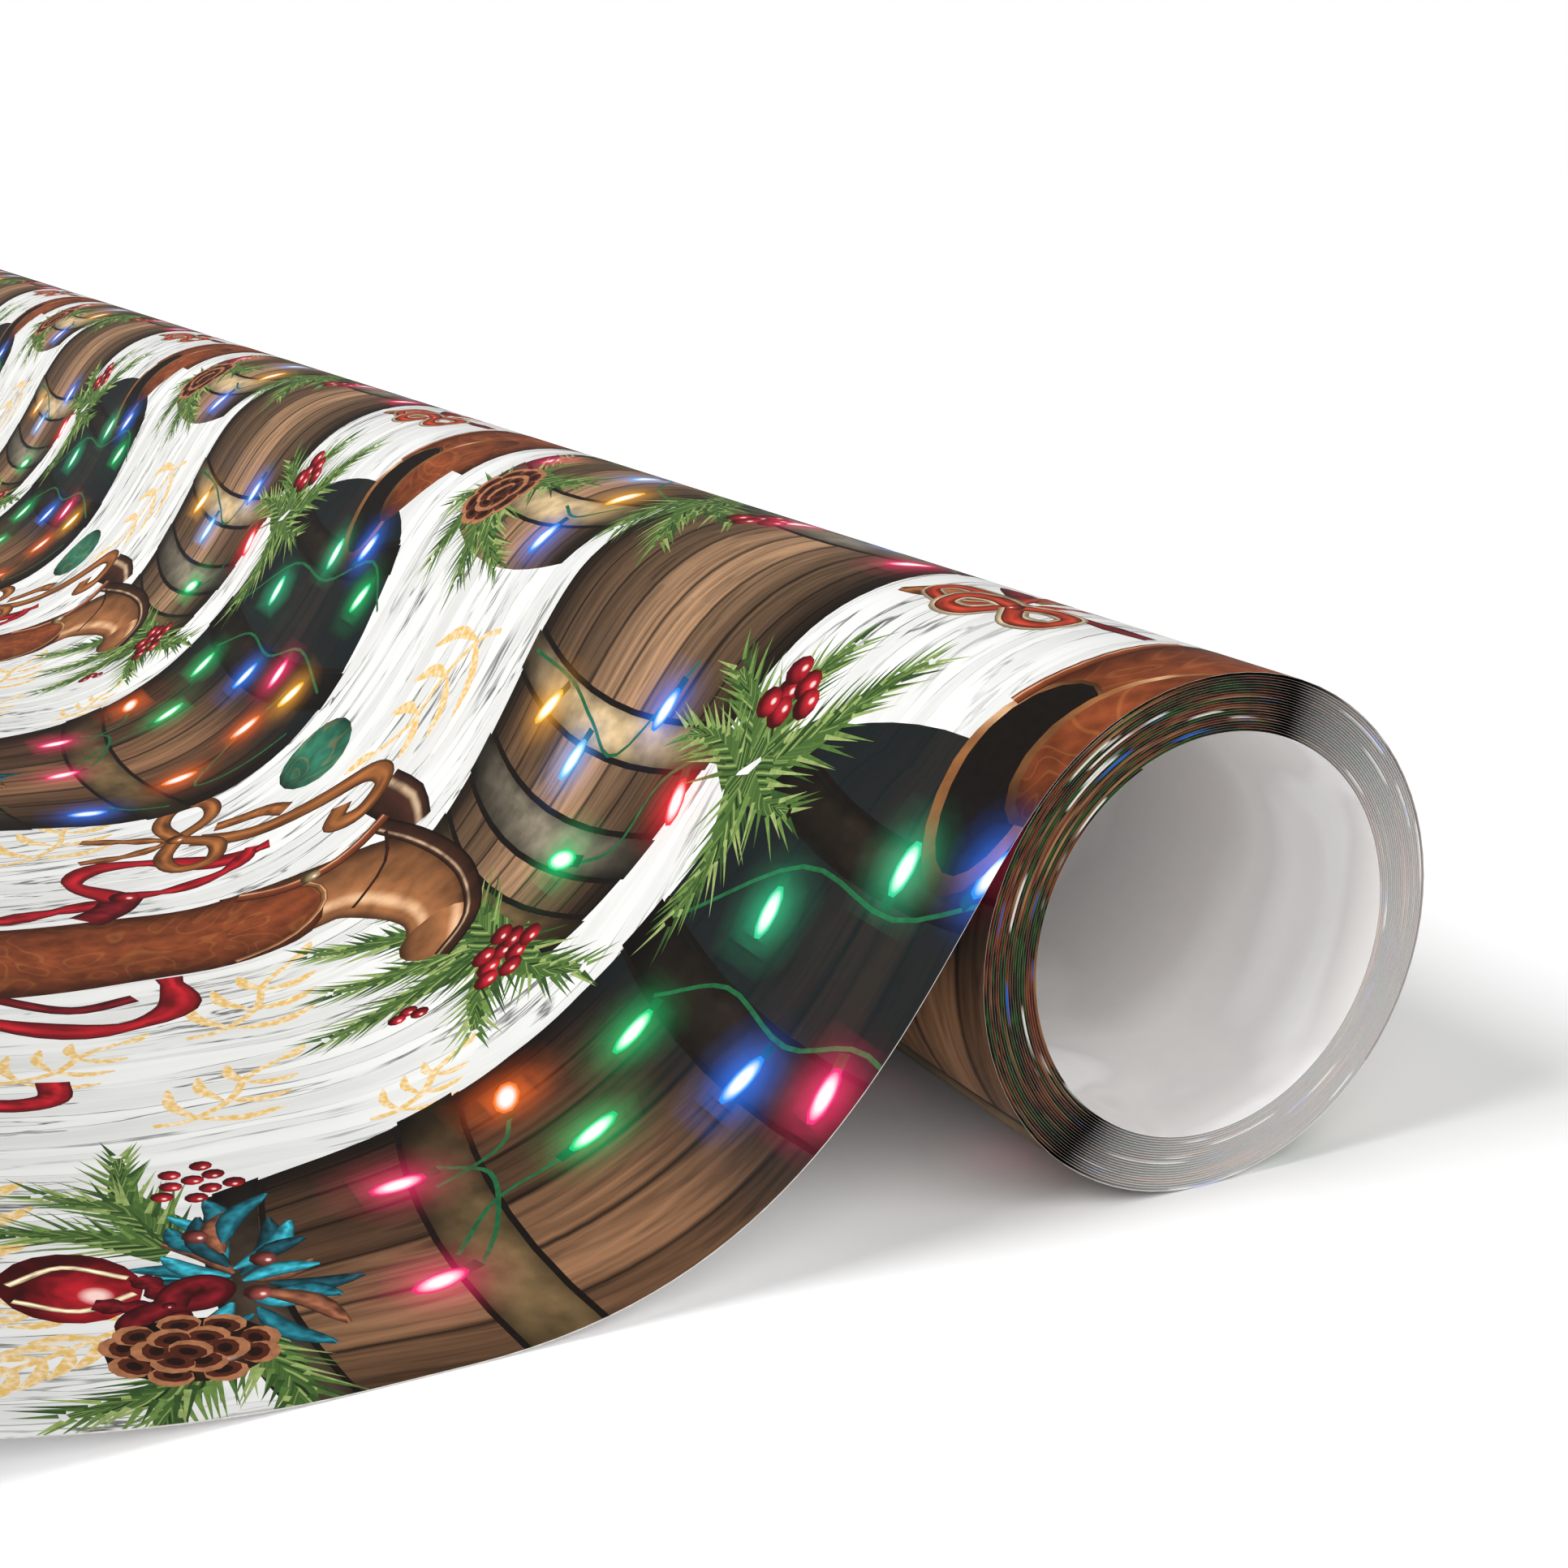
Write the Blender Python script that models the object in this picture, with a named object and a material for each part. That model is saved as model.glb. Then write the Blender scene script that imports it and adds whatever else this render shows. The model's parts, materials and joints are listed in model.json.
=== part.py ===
"""A coreless roll of wrapping paper, with its loose end drawn off the top and laid out on the floor.

The whole object is one long sheet, printed on its outer side. It is modelled as the stretches that move
apart: every turn of the wound coil, the outer wrap round the coil, the lead that curves down to the floor,
the laid sheet and its free end. Each stretch is its own closed solid, cut from the next by a narrow slit.

Frame: metres, +Z up, the roll's axis along Y. The origin is on the floor, in the middle of the whole
outline. The sheet is drawn off towards -X. Angles are measured round the roll's axis from +X towards +Z,
and the paper winds outwards as they grow.
"""

import math

import bpy
from mathutils import Vector

# The sheet
SHEET_WIDTH = 0.700
PAPER = 0.00009

# The roll
ROLL_RADIUS = 0.015
BORE_RADIUS = 0.0116
COIL_TURNS = 22
SEGMENTS_PER_TURN = 40
INNER_END_TURN = 0.325  # where the paper's inner end lies, as a share of a turn from +X
DEPARTURE_TURN = 0.375  # where the lead leaves the outer wrap

# The drawn-out sheet
LEAD_REACH = 2.9 * ROLL_RADIUS  # from the roll's axis to where the lead meets the floor
LEAD_START_PULL = 0.66 * ROLL_RADIUS  # how long the lead keeps the direction of the roll's surface
LEAD_END_PULL = 1.39 * ROLL_RADIUS  # how long it keeps the floor's direction
LEAD_STRETCHES = 3
SEGMENTS_PER_STRETCH = 7
LEAD_SEGMENTS = LEAD_STRETCHES * SEGMENTS_PER_STRETCH
FOOT_LENGTH = 0.005  # the flat strip that rests on the floor
ARCH_LENGTH = 0.104  # the low wave between the foot and the free edge
ARCH_HEIGHT = 0.009
ARCH_SEGMENTS = 24

SLIT = 0.0003  # left between two stretches of the sheet where they are cut apart
RUNNING_GAP = 0.0003  # between the coil and the outer wrap, so that the coil can turn inside it

PRINT_COLOUR = (0.36, 0.27, 0.19, 1.0)
WHITE_COLOUR = (0.86, 0.86, 0.85, 1.0)
PRINT_ROUGHNESS = 0.35
WHITE_ROUGHNESS = 0.55

# Places along the wound paper, in turns from +X
COIL_END_TURN = INNER_END_TURN + COIL_TURNS
WRAP_BOTTOM_TURN = COIL_TURNS + 0.75
WRAP_SIDE_TURN = COIL_TURNS + 1
WRAP_END_TURN = COIL_TURNS + 1 + DEPARTURE_TURN

WOUND_DEPTH = ROLL_RADIUS - BORE_RADIUS - 2 * PAPER - RUNNING_GAP
PITCH = WOUND_DEPTH / (WRAP_END_TURN - INNER_END_TURN - 1)
WRAP_CLEARANCE = RUNNING_GAP + PAPER - PITCH


def clear_scene():
    for obj in list(bpy.data.objects):
        bpy.data.objects.remove(obj, do_unlink=True)


def paper_material(name, colour, roughness):
    material = bpy.data.materials.new(name)
    material.use_nodes = True
    shader = material.node_tree.nodes["Principled BSDF"]
    shader.inputs["Base Color"].default_value = colour
    shader.inputs["Roughness"].default_value = roughness
    shader.inputs["Metallic"].default_value = 0.0
    return material


def wound_radius(turn, clearance):
    """The radius of the paper's middle line at a place along it."""
    return BORE_RADIUS + PAPER / 2 + PITCH * (turn - INNER_END_TURN) + clearance


# The outer wrap rests on the floor, and the object's outline is centred on the origin.
AXIS_Z = wound_radius(WRAP_BOTTOM_TURN, WRAP_CLEARANCE) + PAPER / 2
FAR_SIDE = wound_radius(WRAP_SIDE_TURN, WRAP_CLEARANCE) + PAPER / 2
ARCH_START = LEAD_REACH + FOOT_LENGTH
FREE_EDGE = ARCH_START + ARCH_LENGTH
AXIS_X = (FREE_EDGE - FAR_SIDE) / 2


def round_axis(radius, turn):
    """A point in X and Z at a radius from the roll's axis."""
    angle = math.tau * turn
    return Vector((AXIS_X + radius * math.cos(angle), AXIS_Z + radius * math.sin(angle)))


def wound_line(first_turn, last_turn, clearance=0.0):
    """The middle line of the wound paper between two places, counted in turns from +X."""
    steps = round((last_turn - first_turn) * SEGMENTS_PER_TURN)
    line = []
    for step in range(steps + 1):
        turn = first_turn + (last_turn - first_turn) * step / steps
        line.append(round_axis(wound_radius(turn, clearance), turn))
    return line


def lead_line():
    """The lead: a curve from the roll's surface, down and out to lie flat on the floor."""
    angle = math.tau * DEPARTURE_TURN
    start = round_axis(ROLL_RADIUS - PAPER / 2, DEPARTURE_TURN)
    end = Vector((AXIS_X - LEAD_REACH, PAPER / 2))
    start_pull = start + LEAD_START_PULL * Vector((-math.sin(angle), math.cos(angle)))
    end_pull = end + Vector((LEAD_END_PULL, 0.0))
    line = []
    for step in range(LEAD_SEGMENTS + 1):
        t = step / LEAD_SEGMENTS
        u = 1 - t
        line.append(u**3 * start + 3 * u * u * t * start_pull + 3 * u * t * t * end_pull + t**3 * end)
    return line


def arch_line(first_share, last_share):
    """Part of the low wave, between two shares of its length from the foot to the free edge."""
    steps = round(ARCH_SEGMENTS * (last_share - first_share))
    line = []
    for step in range(steps + 1):
        share = first_share + (last_share - first_share) * step / steps
        height = ARCH_HEIGHT * math.sin(math.pi * share) ** 2
        line.append(Vector((AXIS_X - ARCH_START - ARCH_LENGTH * share, PAPER / 2 + height)))
    return line


def shorten_start(line, amount=SLIT):
    """The line with its first stretch cut back by an amount."""
    first = line[1] - line[0]
    return [line[0] + first.normalized() * amount] + line[1:]


def side_lines(line):
    """The two faces of the paper beside its middle line, mitred at each point."""
    runs = [(b - a).normalized() for a, b in zip(line, line[1:])]
    left, right = [], []
    for before, after, point in zip([runs[0]] + runs, runs + [runs[-1]], line):
        along = (before + after).normalized()
        normal = Vector((-along.y, along.x))
        offset = normal * (PAPER / 2) / normal.dot(Vector((-before.y, before.x)))
        left.append(point + offset)
        right.append(point - offset)
    return left, right


def paper_strip(name, line, pivot, material, parent=None):
    """A closed solid of the sheet's width and thickness along a line in X and Z. Its origin, or its
    parent's, is the pivot."""
    left, right = side_lines(line)
    section = left + right[::-1]
    count, half = len(section), len(left)
    points = [
        (p.x - pivot.x, side * SHEET_WIDTH / 2, p.y - pivot.z) for side in (-1, 1) for p in section
    ]
    faces = [((i + 1) % count, (i + 1) % count + count, i + count, i) for i in range(count)]
    for i in range(half - 1):
        near = (count - 1 - i, count - 2 - i, i + 1, i)
        faces.append(near)
        faces.append(tuple(corner + count for corner in reversed(near)))
    mesh = bpy.data.meshes.new(name)
    mesh.from_pydata(points, [], faces)
    mesh.materials.append(material)
    mesh.shade_smooth()
    mesh.set_sharp_from_angle(angle=math.radians(40))
    obj = bpy.data.objects.new(name, mesh)
    obj.parent = parent
    obj.location = Vector() if parent else pivot
    bpy.context.scene.collection.objects.link(obj)


def axis_empty(name, place):
    empty = bpy.data.objects.new(name, None)
    empty.location = place
    empty.empty_display_size = ROLL_RADIUS
    bpy.context.scene.collection.objects.link(empty)
    return empty


def build_coil(roll_axis):
    """Every turn of the coil, on an empty that stands on the roll's axis."""
    axis = axis_empty("coil_axis", roll_axis)
    for number in range(1, COIL_TURNS + 1):
        start = INNER_END_TURN + number - 1
        line = wound_line(start, start + 1)
        if number > 1:
            line = shorten_start(line)
        name = f"turn_{number:02d}"
        material = paper_material(name, WHITE_COLOUR, WHITE_ROUGHNESS)
        paper_strip(name, line, roll_axis, material, parent=axis)


def build_outer_wrap(roll_axis):
    """The outermost turn, which runs on past where the coil ends to where the lead leaves it."""
    line = wound_line(COIL_END_TURN, WRAP_END_TURN, WRAP_CLEARANCE)
    material = paper_material("outer_wrap", PRINT_COLOUR, PRINT_ROUGHNESS)
    paper_strip("outer_wrap", line, roll_axis, material)


def build_lead(roll_axis):
    """The lead, in stretches that are each nearly straight."""
    line = lead_line()
    for number in range(1, LEAD_STRETCHES + 1):
        last = number * SEGMENTS_PER_STRETCH
        stretch = shorten_start(line[last - SEGMENTS_PER_STRETCH : last + 1])
        name = f"lead_{number:02d}"
        paper_strip(name, stretch, roll_axis, paper_material(name, PRINT_COLOUR, PRINT_ROUGHNESS))


def build_laid_sheet():
    """The laid sheet with its flat foot, and the free end, which hinges on the wave's crest."""
    foot_start = Vector((AXIS_X - LEAD_REACH, PAPER / 2))
    rise = arch_line(0.0, 0.5)
    laid = shorten_start([foot_start] + rise)
    foot = Vector((foot_start.x, 0, 0))
    paper_strip("laid_sheet", laid, foot, paper_material("laid_sheet", PRINT_COLOUR, PRINT_ROUGHNESS))

    crest = Vector((rise[-1].x, 0, rise[-1].y))
    fall = shorten_start(arch_line(0.5, 1.0))
    paper_strip("free_end", fall, crest, paper_material("free_end", PRINT_COLOUR, PRINT_ROUGHNESS))


def main():
    clear_scene()
    roll_axis = Vector((AXIS_X, 0, AXIS_Z))
    build_coil(roll_axis)
    build_outer_wrap(roll_axis)
    build_lead(roll_axis)
    build_laid_sheet()


main()
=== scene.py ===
import json
import math
import random
from collections import namedtuple

import bpy
import numpy as np
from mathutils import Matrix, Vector
from mathutils.geometry import delaunay_2d_cdt


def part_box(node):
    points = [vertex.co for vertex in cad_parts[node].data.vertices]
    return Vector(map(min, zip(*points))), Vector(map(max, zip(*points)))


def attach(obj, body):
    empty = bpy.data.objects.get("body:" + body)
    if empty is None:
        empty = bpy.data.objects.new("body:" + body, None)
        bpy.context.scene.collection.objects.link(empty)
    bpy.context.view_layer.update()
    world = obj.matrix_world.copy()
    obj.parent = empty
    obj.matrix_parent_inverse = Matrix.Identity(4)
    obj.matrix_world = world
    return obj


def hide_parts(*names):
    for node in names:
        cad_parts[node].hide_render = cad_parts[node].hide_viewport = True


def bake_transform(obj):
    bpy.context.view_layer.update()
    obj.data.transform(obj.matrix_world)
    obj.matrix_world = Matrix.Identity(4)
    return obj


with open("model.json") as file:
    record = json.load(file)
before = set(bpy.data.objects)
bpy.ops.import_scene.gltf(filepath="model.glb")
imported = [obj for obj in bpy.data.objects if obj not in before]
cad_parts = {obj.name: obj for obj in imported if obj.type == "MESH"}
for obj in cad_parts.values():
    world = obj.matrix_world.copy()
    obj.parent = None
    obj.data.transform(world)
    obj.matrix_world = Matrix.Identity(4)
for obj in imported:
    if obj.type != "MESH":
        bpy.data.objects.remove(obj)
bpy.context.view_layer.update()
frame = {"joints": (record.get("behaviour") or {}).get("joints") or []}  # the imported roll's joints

# The looks of a roll of gift wrap: the printed sheet round the roll and down to the floor, the wound coil
# inside it, and a plain studio. The print is drawn as flat outlines on the sheet, and the sheet's mesh is
# cut along them. Print places are in roll radii: x runs along the roll from its near end, and y runs along
# the paper, up towards the roll's crown (y = 0) and down towards the free edge.

# The roll, in metres, and in turns from +X towards +Z: the paper winds outwards as they grow
ROLL_RADIUS = 0.015
BORE_RADIUS = 0.0116
COIL_TURNS = 22
INNER_END_TURN = 0.325
DEPARTURE_TURN = 0.375
WRAP_END_TURN = COIL_TURNS + 1 + DEPARTURE_TURN
COIL_END_TURN = COIL_TURNS + INNER_END_TURN
CROWN_TURN = COIL_TURNS + 1.25
WRAP_PITCH = 0.0001324
COIL_CLEARANCE = 0.00004  # between the coil's outer end and the outer wrap, so that the coil can turn
COIL_STEPS = 180  # for each turn
WRAP_STEPS = 72  # for each turn

# The paper's thickness on the roll and where it lies on the floor, and where it changes, in roll radii
# down from the crown
PAPER = 0.000012
SHEET_PAPER = 0.00008
THICKENING_START = 0.8
THICKENING_LENGTH = 2.0

# The drawn-out sheet
LEAD_START_PULL = 0.66 * ROLL_RADIUS
LEAD_END_PULL = 1.39 * ROLL_RADIUS
LEAD_STEPS = 40
WAVE_STEPS = 60
WRAP_SEAM_TURN = COIL_TURNS + 0.9  # where two pieces of the sheet meet, low on the far side of the roll
WAVE_SEAM_SHARE = 0.27  # how far along the wave two pieces meet
FLOOR_GAP = SHEET_PAPER + 0.00001  # from the floor to the printed side where the paper lies flat
FLOOR_DROP = 0.00002  # how far the studio's floor lies below the paper's

# The print, with its lengths in roll radii
REPEAT = 7.3
DETAIL_REACH = (8.0, 22.0)  # how far along the roll it is drawn in full detail, and in middling
GLOW_REACH = 0.17
GLOW_EDGE = 2.09  # where a glow ends, as a share of its reach
GLOW_STRENGTH = 0.55
GLOW_FALL = 1.3  # how quickly it fades
# The rings cut into the sheet round a glow, from coarse to full detail: shares of its reach, and corners
GLOW_RINGS = (((1.8, 6),), ((0.8, 6), (1.9, 6)), ((0.5, 8), (0.95, 8), (1.4, 8), (2.1, 7)))
# How near two cut points, or a point and the paper's side or a height, have to be to count as one
CUT_SNAP, SIDE_SNAP, HEIGHT_SNAP = 1e-6, 1e-4, 1e-5

# Places that the frame gives
JOINTS = {joint["name"]: joint for joint in frame["joints"]}
AXIS_X, _, AXIS_Z = JOINTS["coil_turn"]["pos_m"]
CREST_X, _, CREST_Z = JOINTS["free_end_lift"]["pos_m"]
NEAR_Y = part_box("outer_wrap")[0].y
FAR_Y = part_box("outer_wrap")[1].y
FOOT_START_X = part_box("lead_03")[0].x
WAVE_HALF = CREST_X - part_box("free_end")[0].x
WAVE_START_X = CREST_X + WAVE_HALF
SHEET_WIDTH = FAR_Y - NEAR_Y
WIDTH = SHEET_WIDTH / ROLL_RADIUS

Shape = namedtuple("Shape", "outline paint tint local")
Glow = namedtuple("Glow", "place colour")


# ---------------------------------------------------------------- small helpers


def ink(code):
    """The linear colour of a six-digit hexadecimal screen colour."""
    parts = [int(code[i : i + 2], 16) / 255 for i in (0, 2, 4)]
    return tuple(p / 12.92 if p <= 0.04045 else ((p + 0.055) / 1.055) ** 2.4 for p in parts)


def inks(*codes):
    return [ink(code) for code in codes]


def detail_at(x):
    """How finely the print is drawn at a place along the roll: 2 near the open end, 0 far from it."""
    return sum(x < reach for reach in DETAIL_REACH)


def anticlockwise(corners):
    """The corners of a three- or four-sided shape in order round its middle."""
    middle = sum(corners, Vector((0, 0))) / len(corners)
    ordered = sorted(corners, key=lambda c: math.atan2(c.y - middle.y, c.x - middle.x))
    return [tuple(c) for c in ordered]


def spline(knots, steps=5):
    """Points along a smooth open line through the knots."""
    points = [Vector(k) for k in knots]
    padded = [2 * points[0] - points[1]] + points + [2 * points[-1] - points[-2]]
    line = []
    for a, b, c, d in zip(padded, padded[1:], padded[2:], padded[3:]):
        for step in range(steps):
            t = step / steps
            line.append(0.5 * (2 * b + (c - a) * t + (2 * a - 5 * b + 4 * c - d) * t * t
                               + (3 * b - a - 3 * c + d) * t**3))
    return line + [points[-1]]


def runs_at_points(line):
    """The directions of a line just before and just after each of its points."""
    runs = [(b - a).normalized() for a, b in zip(line, line[1:])]
    return zip([runs[0]] + runs, runs + [runs[-1]])


def placed(origin, size=1.0, turn=0.0):
    """A function from a motif's own places to the print's."""
    cos, sin = math.cos(turn), math.sin(turn)

    def at(*places):
        return [(origin[0] + size * (x * cos - y * sin), origin[1] + size * (x * sin + y * cos))
                for x, y in places]

    return at


# How a strip's width changes along it: its factor at each share of its length


def even(share):
    return 1.0


def leaf_like(share):
    return 0.12 + 0.95 * math.sin(math.pi * min(1.0, share * 0.96 + 0.02)) ** 0.8


def tapered(share):
    return 1.0 - 0.85 * share


def round_start(share):
    tip = 1 - min(1.0, 6 * share)
    return max(0.3, math.sqrt(1 - tip * tip))


def folded(share):
    """A ribbon that turns over as it runs."""
    return 0.5 + 0.5 * abs(math.cos(2.6 * math.pi * share))


def boot_shaft(share):
    return (0.84 + 0.2 * share) * round_start(share)


def boot_foot(share):
    return 1.0 - 0.6 * min(1.0, 1.15 * share)


# Functions from places in the print to places in a shape: two coordinates and a shade


def strip_local(start, end, half_start, half_end, share, step):
    """Along and across one stretch of a strip, which begins at a share of it and is a step of it long."""
    length = (end - start).length
    along = (end - start) / length

    def local(x, y):
        dx, dy = x - start.x, y - start.y
        t = np.clip((dx * along.x + dy * along.y) / length, 0, 1)
        across = (dy * along.x - dx * along.y) / (half_start + (half_end - half_start) * t)
        return share + step * t, np.clip(across, -1, 1), np.ones_like(t)

    return local


def no_local(x, y):
    return np.zeros_like(x), np.zeros_like(x), np.ones_like(x)


def add_object(name, data):
    obj = bpy.data.objects.new(name, data)
    bpy.context.scene.collection.objects.link(obj)
    return obj


# ---------------------------------------------------------------- the print's motifs

PINE = inks("16260f", "2f4a22", "48662f", "648040", "8a9c5c")
TEAL = inks("1a5f6c", "2c8c9b", "143f49")
WOOD_PALE, WOOD_DARK = inks("80634a", "694b35")
HOOP_CREAM, HOOP_GREY, HOOP_DARK, HOOP_OLIVE = inks("a8926e", "6b6354", "3e3227", "5c4a30")
LEATHER, LEATHER_PALE, LEATHER_DARK = inks("7d3d20", "94603a", "3a2014")
LEATHER_RIM, LEATHER_HEEL, HAT_HOLLOW = inks("8a5a34", "3d2116", "120c09")
GOLD, CANE, CREAM, COPPER, BRASS = inks("d9b264", "7b4a26", "dcc6a2", "7a4a34", "7c6a4a")
RED, DEEP_RED, BROWN_RED, BERRY, BUD = inks("8a121c", "5c0d15", "93301f", "8e1620", "7c3b34")
CONE_DARK, CONE_RIM, CONE_HOLLOW, CONE_DEEP = inks("24130c", "a06a48", "4a2014", "1e0c07")
OUTLINE, SEAM, WIRE, SOCKET, GREEN_BALL = inks("120c08", "2a140b", "1d5a35", "12351f", "2c6a52")
GREEN, MINT, BLUE, SKY = inks("16c46c", "2fbf86", "2a7cff", "58a9ff")
PINK, ORANGE, AMBER, LIT_RED = inks("ff2a6d", "ff6a1f", "ffab2e", "ff2f3a")


class Brush:
    """Draws the print's motifs, each over those before it. Its detail is 2 for all of it, and 0 where it is
    too far off to see."""

    def __init__(self, detail):
        self.detail = detail
        self.draws = random.Random(12)
        self.shapes = []
        self.glows = []

    def choose(self, coarse, middling, full):
        return (coarse, middling, full)[self.detail]

    def strip(self, knots, half_width, paint, tint, steps=5, width_at=even):
        """A band of even or changing width along a smooth line. Its local place is how far along it a point
        lies, and how far across, from -1 to 1."""
        line = spline(knots, max(1, steps - self.choose(3, 1, 0)))
        last = len(line) - 1
        halves = [half_width * width_at(i / last) for i in range(last + 1)]
        sides = []
        for (before, after), point, half in zip(runs_at_points(line), line, halves):
            along = (before + after).normalized()
            normal = Vector((-along.y, along.x))
            sides.append((point + half * normal, point - half * normal))
        for i in range(last):
            local = strip_local(line[i], line[i + 1], halves[i], halves[i + 1], i / last, 1 / last)
            self.shapes.append(Shape(anticlockwise([*sides[i], *sides[i + 1]]), paint, tint, local))

    def disc(self, centre, radius_x, radius_y, paint, tint, turn=0.0, corners=12):
        """An ellipse. Its local place runs from -1 to 1 both ways."""
        cos, sin = math.cos(turn), math.sin(turn)
        corners = max(5, round(corners * self.choose(0.55, 0.8, 1.0)))
        outline = []
        for i in range(corners):
            angle = math.tau * i / corners
            x, y = radius_x * math.cos(angle), radius_y * math.sin(angle)
            outline.append((centre[0] + x * cos - y * sin, centre[1] + x * sin + y * cos))

        def local(x, y):
            dx, dy = x - centre[0], y - centre[1]
            return (dx * cos + dy * sin) / radius_x, (dy * cos - dx * sin) / radius_y, np.ones_like(dx)

        self.shapes.append(Shape(outline, paint, tint, local))

    def leaf(self, start, end, bend, half_width, tint, paint="ribbon"):
        start, end = Vector(start), Vector(end)
        run = end - start
        middle = (start + end) / 2 + bend * Vector((-run.y, run.x))
        self.strip([start, middle, end], half_width, paint, tint, 3, leaf_like)

    def barrel(self, middle, top, bottom, half_width, tint, hoops, dark=0.0):
        """A staved barrel, seen a little from above. Each hoop is two shares of its height and a tint."""
        height = top - bottom
        front_sag = 0.17
        hoop_reach = 1.02  # a hoop stands a little proud of the staves
        outline_share = 0.008  # of the height, for the dark line along a hoop's edge

        def half_at(y):
            """Half the width at a height: widest in the middle, with a rounded shoulder at the top."""
            share = np.clip((y - bottom) / height, 0, 1)
            shoulder = np.clip((share - 0.93) / 0.07, 0, 1)
            return half_width * (0.74 + 0.26 * np.sin(np.pi * share) - 0.14 * shoulder**2)

        def sag(across):
            """How much lower the front of a round edge lies than its two sides."""
            return -front_sag * (1 - across * across)

        def local(x, y):
            """Across and along the staves, and a shade that falls towards the top of a dark barrel."""
            across = np.clip((x - middle) / half_at(y), -1, 1)
            along = (y - bottom - sag(across)) / height
            rise = np.clip((along - 0.42) / 0.26, 0, 1)
            return across, along * height, 1 - dark * rise * rise * (3 - 2 * rise)

        def arc(share, reach=1.0):
            """Points from left to right round the barrel's front at a share of its height."""
            points = []
            steps = self.choose(8, 10, 14)
            for step in range(steps + 1):
                across = -math.cos(math.pi * step / steps)
                y = bottom + share * height + sag(across)
                points.append((middle + across * reach * float(half_at(bottom + share * height)), y))
            return points

        def side(way):
            shares = (0.08, 0.18, 0.3, 0.42, 0.54, 0.66, 0.78, 0.88, 0.94, 0.98)
            heights = [bottom + height * share for share in shares]
            return [(middle + way * float(half_at(y)), y) for y in heights]

        lid = [(x, 2 * top - y) for x, y in arc(1.0)]
        outline = arc(0.0) + side(1) + lid[::-1] + side(-1)[::-1]
        self.shapes.append(Shape(outline, "staves", tint, local))
        for low, high, hoop_tint in hoops:

            def hoop_local(x, y, low=low, high=high):
                across, along, shade = local(x, y)
                return across, (along / height - low) / (high - low), 0.25 + 0.75 * shade

            band = arc(low, hoop_reach) + arc(high, hoop_reach)[::-1]
            self.shapes.append(Shape(band, "hoop", hoop_tint, hoop_local))
            for edge in (low - outline_share, high):
                line = arc(edge) + arc(edge + outline_share)[::-1]
                self.shapes.append(Shape(line, "flat", OUTLINE, local))

    def string_lights(self, knots, *bulbs):
        """A wire with small pointed lamps on it. Each lamp is a share along the wire, a turn and a colour."""
        hang = 0.19  # from the wire to a lamp's middle
        socket_start, socket_end = 0.17, 0.09  # from a lamp's middle, back towards the wire
        self.strip(knots, 0.01, "flat", WIRE)
        line = spline(knots, 8)
        for share, turn, colour in bulbs:
            out = Vector((math.sin(turn), -math.cos(turn)))
            middle = line[round(share * (len(line) - 1))] + out * hang
            self.strip([middle - socket_start * out, middle - socket_end * out], 0.032, "flat", SOCKET, 1)
            self.disc(middle, 0.058, 0.118, "lamp", colour, turn, 10)
            self.glows.append(Glow(tuple(middle), colour))

    def pine_branch(self, start, end, bend, length):
        """A bent stem with needles on both sides, which slant less and grow shorter towards its tip."""
        start, end = Vector(start), Vector(end)
        run = end - start
        middle = (start + end) / 2 + bend * Vector((-run.y, run.x)).normalized()
        stem = spline([start, middle, end], 6)
        self.strip([start, middle, end], 0.34 * length, "pine", PINE[1], 4, tapered)
        count = round(run.length * self.choose(5, 10, 24))
        half = self.choose(0.05, 0.026, 0.013)
        for number in range(count):
            share = (number + 0.5) / count
            place = share * (len(stem) - 1)
            index = min(int(place), len(stem) - 2)
            root = stem[index].lerp(stem[index + 1], place - index)
            way = (stem[index + 1] - stem[index]).normalized()
            for sign in (-1, 1):
                angle = sign * (0.5 + 0.22 * self.draws.random()) * (1.2 - 0.6 * share)
                out = Vector(*placed((0.0, 0.0), 1.0, angle)(way))
                across = Vector((-out.y, out.x)) * half
                tip = root + out * length * (0.75 + 0.5 * self.draws.random()) * (1.1 - 0.45 * share)
                foot = root.lerp(tip, 0.25)
                needle = anticlockwise([foot + across, foot - across, tip])
                self.shapes.append(Shape(needle, "flat", PINE[1 + self.draws.randrange(4)], no_local))

    def berries(self, centre, spread, count, size):
        """A bunch of berries, laid out from its middle in a spiral."""
        for number in range(count):
            angle = 2.4 * number
            reach = spread * math.sqrt((number + 0.5) / count)
            place = (centre[0] + reach * math.cos(angle), centre[1] + reach * math.sin(angle))
            self.disc(place, size, size, "ball", BERRY, self.draws.random(), 10)

    def pinecone(self, centre, radius_x, radius_y):
        """Rings of open scales, each a pale rim round a dark hollow, the outer ring first."""
        self.disc(centre, radius_x, radius_y, "ball", CONE_DARK, 0, 14)
        rings = ((0.84, 9), (0.46, 6), (0.0, 1))
        for ring, count in rings[: self.choose(2, 3, 3)]:
            for number in range(count):
                angle = math.tau * (number + ring + 0.4 * self.draws.random()) / count
                out = (math.cos(angle), math.sin(angle))
                place = (centre[0] + ring * radius_x * out[0], centre[1] + ring * radius_y * out[1])
                hollow = (place[0] - 0.07 * radius_x * out[0], place[1] - 0.07 * radius_y * out[1])
                turn = angle + math.pi / 2
                self.disc(place, 0.34 * radius_x, 0.23 * radius_y, "flat", CONE_RIM, turn, 10)
                self.disc(hollow, 0.29 * radius_x, 0.17 * radius_y, "flat", CONE_HOLLOW, turn, 10)
                self.disc(hollow, 0.15 * radius_x, 0.09 * radius_y, "flat", CONE_DEEP, turn, 8)

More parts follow.
